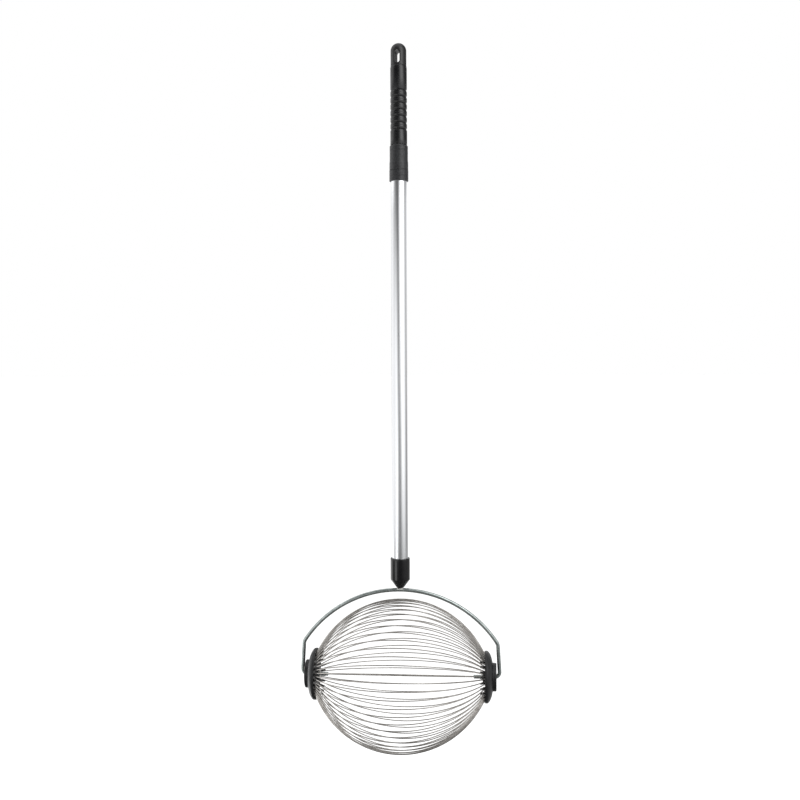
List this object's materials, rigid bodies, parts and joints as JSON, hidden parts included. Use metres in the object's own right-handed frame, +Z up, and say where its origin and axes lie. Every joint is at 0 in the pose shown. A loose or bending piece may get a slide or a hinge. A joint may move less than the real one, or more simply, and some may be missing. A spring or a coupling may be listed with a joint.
{
  "type": "rolling nut gatherer",
  "caption": "Rolling gatherer for nuts, windfalls and balls: a bowed-wire cage spins in a rod bail under a telescopic twist-lock pole with a ribbed grip and hanging cap.",
  "frame": {"origin": "on the ground straight under the middle of the cage, on the pole's line", "axes": "+Z up the pole, +X along the cage's axle"},
  "size_m": [0.3214, 0.2398, 1.131],
  "materials": {
    "cap_plastic": "satin moulded polypropylene",
    "grip_rubber": "satin soft-touch rubber",
    "collar_plastic": "textured moulded plastic",
    "socket_plastic": "glossy moulded plastic",
    "hub_plastic": "satin moulded plastic",
    "anodised_tube": "satin anodised",
    "galvanised_rod": "bright zinc plated",
    "spring_wire": "plain drawn steel wire",
    "zinc_hardware": "zinc plated",
    "black_screw": "black zinc plated",
    "bush_plastic": "natural acetal",
    "guide_plastic": "moulded plastic"
  },
  "bodies": {
    "handle": {"hang_cap": "cap_plastic", "grip_sleeve": "grip_rubber", "inner_tube": "anodised_tube", "guide_bush": "guide_plastic"},
    "lower_pole": {"outer_tube": "anodised_tube", "collar_base": "collar_plastic", "collet": "guide_plastic", "pole_socket": "socket_plastic", "bail": "galvanised_rod", "bail_stud": "zinc_hardware", "stud_washer": "zinc_hardware", "stud_nut": "zinc_hardware", "push_nut_left": "zinc_hardware", "push_nut_right": "zinc_hardware"},
    "collar": {"lock_collar": "collar_plastic"},
    "cage": {"cage_wires_1": "spring_wire", "cage_wires_2": "spring_wire", "cage_wires_3": "spring_wire", "cage_wires_4": "spring_wire", "cage_wires_5": "spring_wire", "cage_wires_6": "spring_wire", "comb_plate_left": "hub_plastic", "comb_plate_right": "hub_plastic", "hub_cover_left": "hub_plastic", "hub_cover_right": "hub_plastic", "hub_bush_left": "bush_plastic", "hub_bush_right": "bush_plastic", "hub_screws_left": "black_screw", "hub_screws_right": "black_screw"}
  },
  "joints": [
    {"name": "pole_extend", "type": "slide", "parent": "handle", "child": "lower_pole", "axis": [0, 0, -1], "range_m": [0, 0.45]},
    {"name": "collar_twist", "type": "hinge", "parent": "lower_pole", "child": "collar", "pos_m": [0, 0, 0.94], "axis": [0, 0, 1], "range_deg": [0, 120]},
    {"name": "cage_spin", "type": "hinge", "parent": "lower_pole", "child": "cage", "pos_m": [0, 0, 0.12], "axis": [1, 0, 0], "continuous": true}
  ]
}
